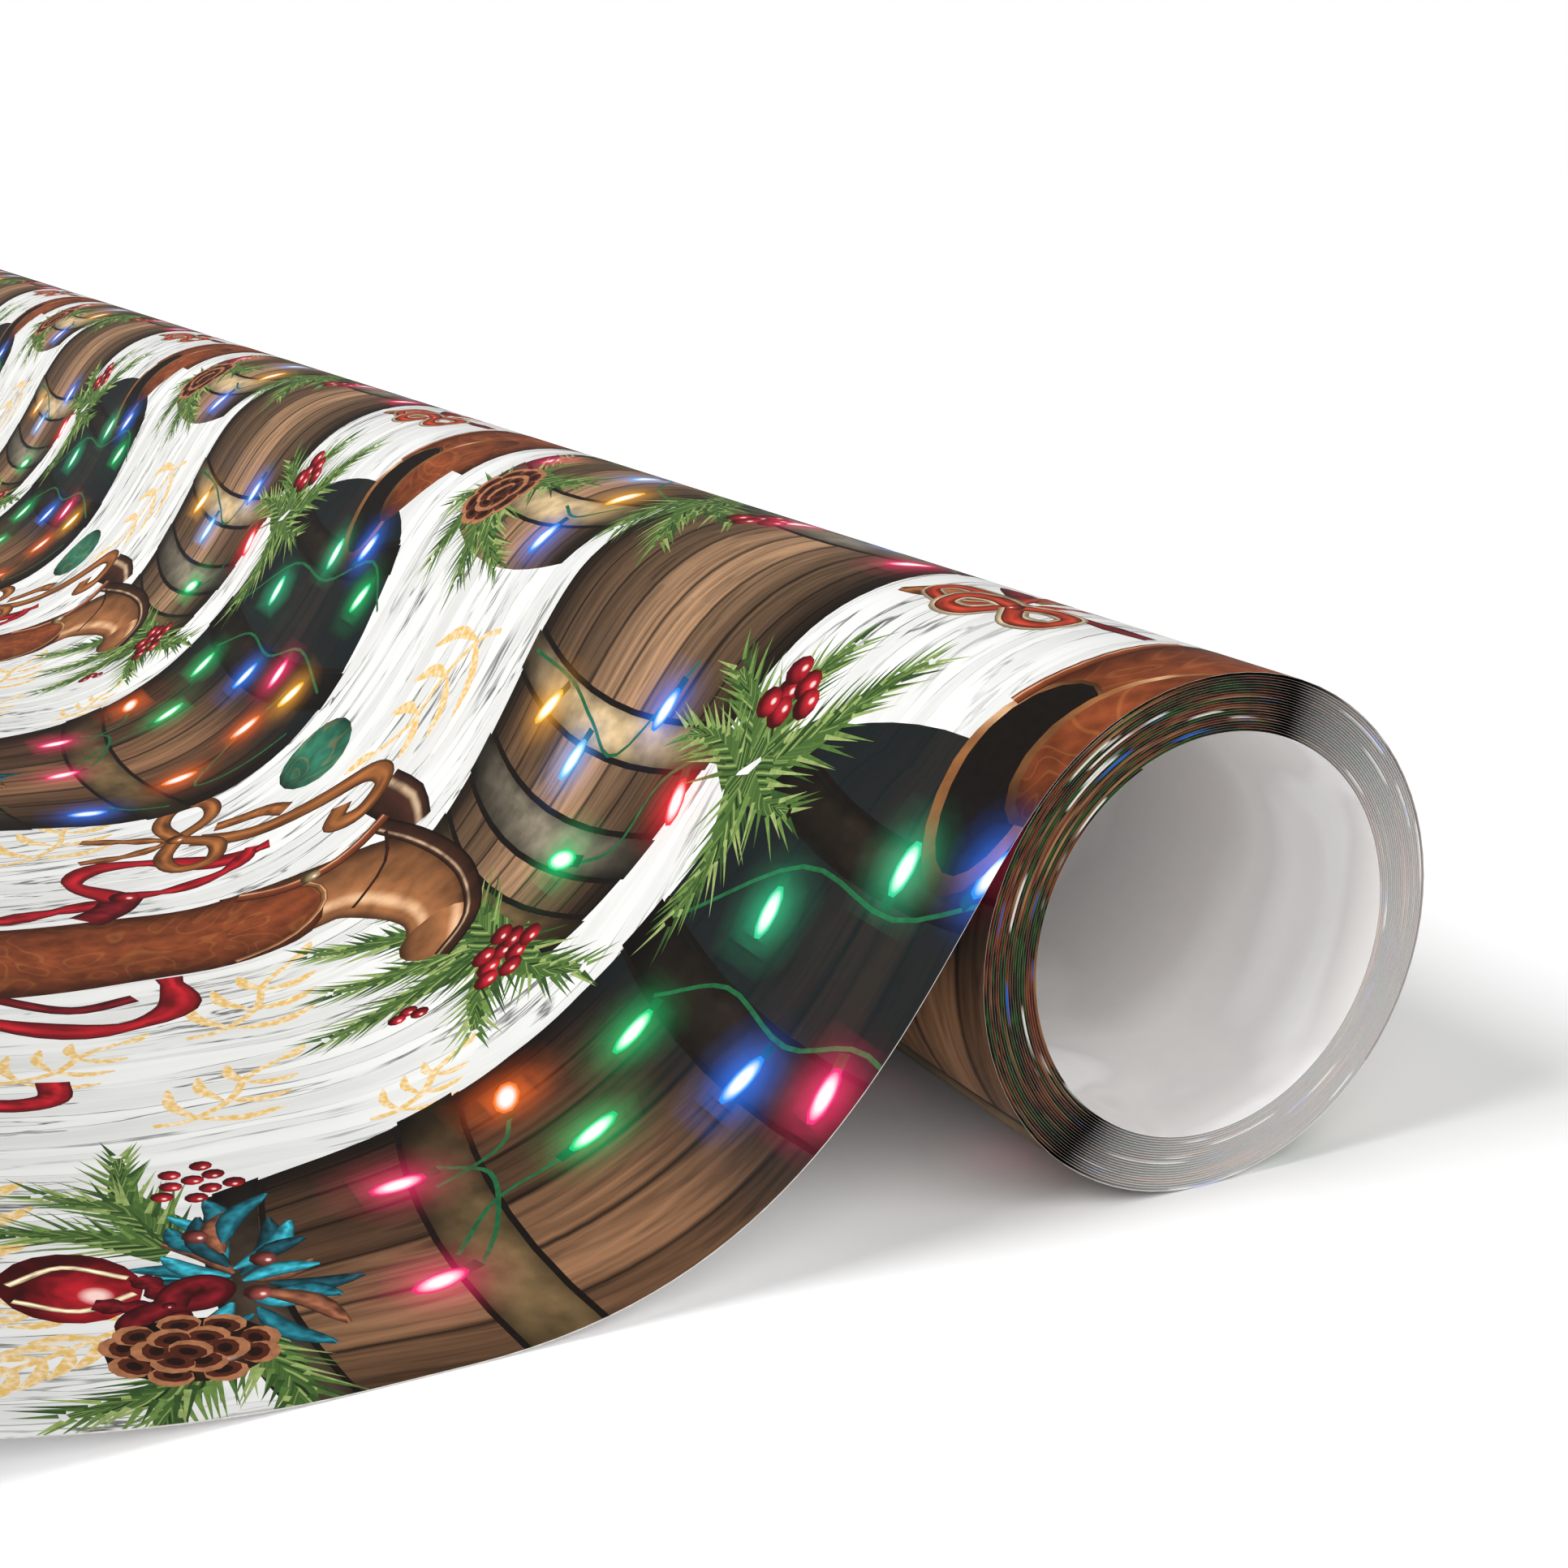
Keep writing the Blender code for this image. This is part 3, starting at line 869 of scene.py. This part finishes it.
def set_paper_normals(mesh, normal, line_out, triangle_count):
    """Smooth normals across the two faces of the paper, and flat ones on its edges."""
    unit = normal / np.linalg.norm(normal, axis=1, keepdims=True)
    directions = np.zeros((len(mesh.loops), 3))
    vertex_of = np.empty(len(mesh.loops), np.int32)
    mesh.loops.foreach_get("vertex_index", vertex_of)
    top_loops = 3 * triangle_count
    directions[:top_loops, ::2] = unit[vertex_of[:top_loops]]
    for polygon in mesh.polygons[triangle_count:]:
        if polygon.material_index == EDGE:
            directions[polygon.loop_indices] = polygon.normal
            continue
        for loop in polygon.loop_indices:
            back = line_out[(vertex_of[loop] - len(unit)) // 2]
            directions[loop] = (-back.x, 0.0, -back.y)
    mesh.shade_smooth()
    mesh.normals_split_custom_set(directions.tolist())


# ---------------------------------------------------------------- materials


def colour_of(value):
    """The colour that a screen colour's code or a grey's number stands for, or a colour as it is."""
    if isinstance(value, str):
        return ink(value)
    return value if isinstance(value, tuple) else (value, value, value)


class Paint:
    """A Principled material that is filled with a few short calls."""

    def __init__(self, name, roughness=0.5, specular=0.1):
        self.material = bpy.data.materials.new(name)
        self.material.use_nodes = True
        self.tree = self.material.node_tree
        self.shader = self.tree.nodes["Principled BSDF"]
        self.shader.inputs["Roughness"].default_value = roughness
        self.shader.inputs["Specular IOR Level"].default_value = specular

    def put(self, socket, value):
        if isinstance(value, bpy.types.NodeSocket):
            self.tree.links.new(value, socket)
        elif isinstance(value, (str, tuple)):
            socket.default_value = (*colour_of(value), 1.0)
        else:
            socket.default_value = value

    def node(self, kind, *values, **settings):
        """A new node with its settings made and its first inputs filled."""
        node = self.tree.nodes.new("ShaderNode" + kind)
        for name, value in settings.items():
            setattr(node, name, value)
        for socket, value in zip(node.inputs, values):
            self.put(socket, value)
        return node

    def attribute(self, name):
        return self.node("Attribute", attribute_name=name).outputs["Color"]

    def object_place(self):
        return self.node("TexCoord").outputs["Object"]

    def parts(self, vector):
        return self.node("SeparateXYZ", vector).outputs

    def sum(self, operation, a, b=0.0, c=0.0):
        return self.node("Math", a, b, c, operation=operation).outputs[0]

    def scaled(self, value, factor, offset=0.0):
        return self.sum("MULTIPLY_ADD", value, factor, offset)

    def from_middle(self, value):
        """How far a value from 0 to 1 lies from its middle."""
        return self.sum("ABSOLUTE", self.sum("SUBTRACT", value, 0.5))

    def reach(self, x, y):
        return self.sum("SQRT", self.sum("ADD", self.sum("POWER", x, 2.0), self.sum("POWER", y, 2.0)))

    def noise(self, place, scale=1.0, detail=2.0, distortion=0.0):
        if isinstance(place, tuple):
            place = self.node("CombineXYZ", *place).outputs[0]
        node = self.node("TexNoise", place)
        node.inputs["Scale"].default_value = scale
        node.inputs["Detail"].default_value = detail
        node.inputs["Distortion"].default_value = distortion
        return node.outputs["Fac"]

    def chance(self, value):
        """A number from 0 to 1 that is different for each whole value."""
        node = self.node("TexWhiteNoise", noise_dimensions="1D")
        self.put(node.inputs["W"], value)
        return node.outputs["Value"]

    def ramp(self, value, *stops, smooth=False):
        node = self.node("ValToRGB", value)
        node.color_ramp.interpolation = "EASE" if smooth else "LINEAR"
        elements = node.color_ramp.elements
        while len(elements) < len(stops):
            elements.new(0.5)
        for element, (place, colour) in zip(elements, stops):
            element.position = place
            element.color = (*colour_of(colour), 1.0)
        return node.outputs["Color"]

    def across(self, value, *stops):
        """A smooth ramp from one side of a shape, at -1, to the other, at 1."""
        return self.ramp(self.scaled(value, 0.5, 0.5), *stops, smooth=True)

    def mix(self, share, a, b, blend="MIX"):
        node = self.node("Mix", share, data_type="RGBA", blend_type=blend)
        self.put(node.inputs[6], a)
        self.put(node.inputs[7], b)
        return node.outputs[2]

    def times(self, colour, *shades):
        for shade in shades:
            colour = self.mix(1.0, colour, shade, "MULTIPLY")
        return colour

    def tinted(self, value, *stops):
        """The shape's own colour, darker or lighter by a value's ramp."""
        return self.times(self.attribute("tint"), self.ramp(value, *stops))

    def finish(self, colour, lit=True):
        """Sets the base colour, brightened where a printed lamp glows."""
        if lit:
            colour = self.mix(1.0, colour, self.attribute("glow"), "SCREEN")
        self.put(self.shader.inputs["Base Color"], colour)
        return self.material


def whitewash():
    """The print's ground: whitewashed boards with fine grey grain."""
    paint = Paint("print_whitewash")
    x, y, _ = paint.parts(paint.attribute("print_place"))
    grain = paint.noise((paint.scaled(x, 8.0), paint.scaled(y, 0.6)), 1.0, 5.0, 0.6)
    patches = paint.ramp(paint.noise((x, y, 3.0), 1.3), (0.36, 0.0), (0.56, 1.0))
    lines = paint.ramp(paint.from_middle(grain), (0.0, "5f6160"), (0.009, "b4b5b3"), (0.02, "ffffff"))
    soft = paint.ramp(grain, (0.35, "cfcfcd"), (0.6, "e1e1df"))
    return paint.finish(paint.mix(patches, soft, paint.times(soft, lines)))


def staves():
    """Barrel wood: staves round the barrel, grain along them, darker towards the sides."""
    paint = Paint("print_staves")
    across, along, shade = paint.parts(paint.attribute("local"))
    place = paint.scaled(paint.sum("ARCSINE", across), 3.5, 3.0)
    stave = paint.sum("FLOOR", place)
    joint = paint.from_middle(paint.sum("FRACT", place))
    grain = paint.noise((paint.scaled(place, 5.5), paint.scaled(along, 1.3), paint.scaled(stave, 4.7)),
                        1.0, 5.0, 1.4)
    colour = paint.times(
        paint.tinted(grain, (0.3, 0.5), (0.5, 1.0), (0.72, 1.5)),
        paint.ramp(paint.chance(stave), (0.0, 0.72), (1.0, 1.2)),
        paint.ramp(joint, (0.0, 1.05), (0.42, 1.0), (0.475, 0.35), (0.5, 0.12)),
        paint.across(across, (0.0, 0.05), (0.18, 0.4), (0.42, 1.25), (0.78, 0.5), (1.0, 0.05)),
        shade,
    )
    gloom = paint.scaled(shade, -0.5, 0.5)
    return paint.finish(paint.mix(gloom, colour, "1a272b"))


def hoop():
    """The barrel's flat bands, lighter along their middle and worn in patches."""
    paint = Paint("print_hoop")
    across, share, shade = paint.parts(paint.attribute("local"))
    wear = paint.noise((paint.scaled(across, 3.0), paint.scaled(share, 0.8)), 2.2, 4.0)
    return paint.finish(paint.times(
        paint.tinted(wear, (0.3, 0.6), (0.7, 1.35)),
        paint.ramp(share, (0.0, 0.45), (0.3, 1.0), (0.75, 1.25), (1.0, 0.6)),
        paint.across(across, (0.0, 0.12), (0.25, 0.8), (0.42, 1.3), (0.8, 0.6), (1.0, 0.1)),
        shade,
    ))


def flat_ink():
    paint = Paint("print_flat")
    grain = paint.noise(paint.attribute("print_place"), 22.0)
    return paint.finish(paint.tinted(grain, (0.3, 0.75), (0.7, 1.25)))


def leather():
    """Smooth leather, lit along one side."""
    paint = Paint("print_leather")
    _, across, _ = paint.parts(paint.attribute("local"))
    wear = paint.noise(paint.attribute("print_place"), 6.0, 4.0)
    colour = paint.times(
        paint.tinted(wear, (0.3, 0.65), (0.7, 1.3)),
        paint.across(across, (0.0, 0.12), (0.25, 0.6), (0.6, 1.0), (0.74, 1.7), (0.86, 0.9), (1.0, 0.2)),
    )
    shine = paint.times(paint.across(across, (0.6, 0.0), (0.74, 0.6), (0.85, 0.0)),
                        paint.ramp(wear, (0.35, 0.3), (0.6, 1.0)))
    return paint.finish(paint.mix(shine, colour, "e6c8a2"))


def tooled_leather():
    """Leather with swirling tooled lines."""
    paint = Paint("print_tooled_leather")
    _, across, _ = paint.parts(paint.attribute("local"))
    place = paint.attribute("print_place")
    line = paint.from_middle(paint.sum("FRACT", paint.scaled(paint.noise(place, 1.5, 1.0, 1.4), 9.0)))
    colour = paint.tinted(paint.noise(place, 9.0, 3.0), (0.3, 0.6), (0.7, 1.25))
    colour = paint.mix(paint.ramp(line, (0.0, 0.24), (0.07, 0.14), (0.12, 0.0)), colour, "b9763f")
    side = paint.across(across, (0.0, 0.2), (0.2, 0.75), (0.5, 1.15), (0.8, 0.8), (1.0, 0.25))
    return paint.finish(paint.times(colour, side))


def ribbon():
    """Satin ribbon and leaves: a light line along the middle and dark edges."""
    paint = Paint("print_ribbon")
    along, across, _ = paint.parts(paint.attribute("local"))
    folds = paint.noise((paint.scaled(along, 6.0), across), 1.0, 1.0)
    sheen = paint.across(across, (0.0, 0.25), (0.3, 0.9), (0.6, 1.7), (0.8, 0.8), (1.0, 0.2))
    return paint.finish(paint.times(paint.tinted(folds, (0.3, 0.55), (0.7, 1.5)), sheen))


def pine():
    """The thick of a branch: needles that slant out from its stem, over dark gaps."""
    paint = Paint("print_pine")
    along, across, _ = paint.parts(paint.attribute("local"))
    slant = paint.scaled(paint.sum("ABSOLUTE", across), -3.6, paint.scaled(along, 17.0))
    needles = paint.noise((slant, paint.scaled(paint.sum("SIGN", across), 9.0)))
    colour = paint.ramp(needles, (0.36, PINE[0]), (0.45, PINE[1]), (0.52, PINE[2]), (0.62, PINE[4]))
    return paint.finish(colour)


def ball():
    """Round things: berries, baubles, buckles and cone scales."""
    paint = Paint("print_ball")
    x, y, _ = paint.parts(paint.attribute("local"))
    reach = paint.reach(paint.sum("ADD", x, 0.28), paint.sum("SUBTRACT", y, 0.3))
    marks = paint.noise(paint.attribute("print_place"), 7.0, 3.0, 1.0)
    colour = paint.times(paint.tinted(marks, (0.35, 0.6), (0.65, 1.4)),
                         paint.ramp(reach, (0.0, 2.2), (0.5, 1.1), (1.25, 0.2)))
    return paint.finish(paint.mix(paint.ramp(reach, (0.1, 0.75), (0.26, 0.0)), colour, "ffe9e0"))


def lamp():
    """A lit bulb: a white core that turns to its colour and darkens at the rim."""
    paint = Paint("print_lamp")
    x, y, _ = paint.parts(paint.attribute("local"))
    reach = paint.reach(x, y)
    rim = paint.tinted(reach, (0.6, 1.0), (1.0, 0.7))
    return paint.finish(paint.mix(paint.ramp(reach, (0.3, 1.0), (0.85, 0.0)), rim, "ffffff"))


def gilt():
    """Pale gold scrolls, broken up as if printed with a dry brush."""
    paint = Paint("print_gilt")
    speckle = paint.noise(paint.attribute("print_place"), 30.0, 3.0)
    share = paint.ramp(speckle, (0.42, 1.0), (0.66, 0.45))
    return paint.finish(paint.mix(share, "f3efe4", paint.attribute("tint")))


def paper_back():
    """The white back, with a faint ghost of the print."""
    paint = Paint("paper_back")
    place = paint.object_place()
    ghost = paint.noise(place, 38.0, 2.0, 1.5)
    colour = paint.ramp(ghost, (0.42, "f4f3f3"), (0.47, "e6e3e2"), (0.55, "ece9e7"), (0.66, "dedad8"))
    fibres = paint.ramp(paint.noise(place, 900.0), (0.3, 0.98), (0.7, 1.0))
    return paint.finish(paint.times(colour, fibres), lit=False)


def gap_shade(paint, x):
    """How much light reaches into the narrow gap between two turns, by the distance from the roll's end."""
    depth = paint.sum("MINIMUM", x, paint.sum("SUBTRACT", WIDTH, x))
    return paint.ramp(paint.scaled(depth, 12.0), (0.0, 1.0), (0.4, 0.95), (0.7, 0.35), (1.0, 0.0))


def covered_back():
    """The white back where the next turn lies against it, darkened by painted shade deeper in the gap. It has
    a faint painted glow (emission), which stands in for the light that comes through the thin paper."""
    paint = Paint("covered_back", 0.6)
    x, _, _ = paint.parts(paint.attribute("print_place"))
    # Painted shade: the back darkens deeper into the gap from the roll's end.
    colour = paint.times(gap_shade(paint, x), "f4f3f2")
    # Painted glow: a faint emission on the paper that brightens the back in the gaps.
    paint.put(paint.shader.inputs["Emission Color"], colour)
    paint.shader.inputs["Emission Strength"].default_value = 0.1
    return paint.finish(colour, lit=False)


def speckled(name, roughness, specular, scale, dark, light):
    """A plain surface with fine fibres or faint spots."""
    paint = Paint(name, roughness, specular)
    spots = paint.noise(paint.object_place(), scale)
    return paint.finish(paint.ramp(spots, (0.3, dark), (0.7, light)), lit=False)


def paper_edge():
    """The cut edges: white paper core with fine fibres."""
    return speckled("paper_edge", 0.6, 0.2, 1500.0, "a5a29e", "c4c1bd")


def coil_edge():
    """The cut edges of the coil, painted a darker grey than the paper's other edges as painted shade, since
    they lie so close that each shades the next.
    """
    return speckled("coil_edge", 0.6, 0.0, 1500.0, "68645e", "86817a")


def floor_material():
    return speckled("studio_floor", 0.7, 0.0, 6.0, "fafafa", "fcfcfc")


def coil_print():
    """The printed side inside the coil, of which only streaks show at the ends."""
    paint = Paint("print_in_coil", 0.45)
    x, y, _ = paint.parts(paint.attribute("print_place"))
    patches = paint.noise((x, paint.scaled(y, 0.9)), 1.0, 4.0)
    colour = paint.ramp(patches, (0.34, "b98a5c"), (0.41, "6d4323"), (0.45, "1c1109"), (0.48, "2c5a22"),
                        (0.51, "1a0f0a"), (0.55, "8a4a26"), (0.60, "5c1a14"), (0.66, "c08e5e"))
    whites = paint.ramp(paint.noise((x, paint.scaled(y, 1.3), 5.0)), (0.62, 0.0), (0.64, 1.0))
    lights = paint.ramp(paint.noise((x, paint.scaled(y, 1.6), 9.0), 1.0, 1.0), (0.66, 0.0), (0.70, 1.0))
    colour = paint.mix(lights, paint.mix(whites, colour, "f2f0ea"), "2f74e6")
    return paint.finish(paint.times(colour, gap_shade(paint, x)), lit=False)


def make_paints():
    return {
        "ground": whitewash(),
        "staves": staves(),
        "hoop": hoop(),
        "flat": flat_ink(),
        "leather": leather(),
        "tooled": tooled_leather(),
        "ribbon": ribbon(),
        "pine": pine(),
        "ball": ball(),
        "lamp": lamp(),
        "gilt": gilt(),
        "back": paper_back(),
        "covered_back": covered_back(),
        "edge": paper_edge(),
        "coil_edge": coil_edge(),
        "coil": coil_print(),
    }


# ---------------------------------------------------------------- the pieces


def build_sheet(paints):
    """The printed sheet in three pieces, which meet low on the roll and on the rise of the wave."""
    line, heights = sheet_line()
    wrap_seam = round((WRAP_SEAM_TURN - COIL_END_TURN) * WRAP_STEPS)
    wave_seam = len(line) - 1 - WAVE_STEPS + round(WAVE_STEPS * WAVE_SEAM_SHARE)
    parts = {
        "inner_wrap": slice(0, wrap_seam + 1),
        "drawn_sheet": slice(wrap_seam, wave_seam + 1),
        "loose_end": slice(wave_seam, len(line)),
    }
    pieces = []
    for name, part in parts.items():
        span = heights[part]
        shapes, glows = spread_print(span[-1], span[0])
        open_back = 0 if name == "inner_wrap" else len(span) - 1
        pieces.append(paper_piece(name, line[part], span, shapes, glows, paints, open_back))
    wrap, sheet, loose = pieces
    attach(wrap, "wrap")
    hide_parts("outer_wrap")
    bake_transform(sheet)
    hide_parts("lead_01", "lead_02", "lead_03", "laid_sheet")
    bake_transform(loose)
    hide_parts("free_end")


def build_coil(paints):
    """The wound paper inside the outer wrap."""
    line = wound_line(INNER_END_TURN, COIL_END_TURN, COIL_STEPS, coil_radius)
    reach = reach_along(line)
    heights = [reach[-1] - r for r in reach]
    coil = paper_piece("wound_coil", line, heights, [], [], paints, COIL_STEPS, "coil", "coil_edge")
    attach(coil, "coil")
    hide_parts(*[f"turn_{number:02d}" for number in range(1, COIL_TURNS + 1)])


# ---------------------------------------------------------------- the studio


def build_floor():
    """A plain floor under the paper, far wider than the picture."""
    mesh = bpy.data.meshes.new("floor")
    reach = 3.0
    corners = [(-reach, -reach, 0), (reach, -reach, 0), (reach, reach, 0), (-reach, reach, 0)]
    mesh.from_pydata(corners, [], [(0, 1, 2, 3)])
    mesh.materials.append(floor_material())
    floor = add_object("floor", mesh)
    floor.location.z = -FLOOR_DROP


def distant_light(name, direction, strength, spread):
    """A light from far away. Its spread is in degrees."""
    light = bpy.data.lights.new(name, "SUN")
    light.energy = strength
    light.angle = math.radians(spread)
    add_object(name, light).rotation_euler = Vector(direction).to_track_quat("-Z", "Y").to_euler()


def build_lights():
    """An even room with a white backdrop, a large soft key from the upper left, and a wide front light
    that reaches into the bore."""
    world = bpy.data.worlds.new("studio")
    world.use_nodes = True
    nodes, links = world.node_tree.nodes, world.node_tree.links
    room = nodes["Background"]
    room.inputs["Strength"].default_value = 0.28
    backdrop = nodes.new("ShaderNodeBackground")
    for background in (room, backdrop):
        background.inputs["Color"].default_value = (1.0, 1.0, 1.0, 1.0)
    chooser = nodes.new("ShaderNodeMixShader")
    links.new(nodes.new("ShaderNodeLightPath").outputs["Is Camera Ray"], chooser.inputs[0])
    links.new(room.outputs[0], chooser.inputs[1])
    links.new(backdrop.outputs[0], chooser.inputs[2])
    links.new(chooser.outputs[0], nodes["World Output"].inputs["Surface"])
    bpy.context.scene.world = world
    distant_light("key", (0.75, -0.05, -0.66), 2.55, 29)
    distant_light("front", (0.0, 0.97, -0.24), 3.3, 100)


def build_camera():
    """The camera stands near the open end, on the side of the drawn-out sheet."""
    camera = bpy.data.cameras.new("camera")
    camera.sensor_width = 36.0
    camera.lens = 52.2
    camera.clip_start = 0.001
    camera_object = add_object("camera", camera)
    offset = Vector((-4.971, -6.310, 3.821)) * ROLL_RADIUS
    camera_object.location = Vector((AXIS_X, NEAR_Y, 0)) + offset
    turn, tip = math.radians(26.89), math.radians(15.85)
    camera_object.rotation_euler = (math.pi / 2 - tip, 0.0, -turn)
    bpy.context.scene.camera = camera_object


bpy.context.scene.view_settings.view_transform = "Standard"
build_camera()
build_floor()
build_lights()
all_paints = make_paints()
build_sheet(all_paints)
build_coil(all_paints)
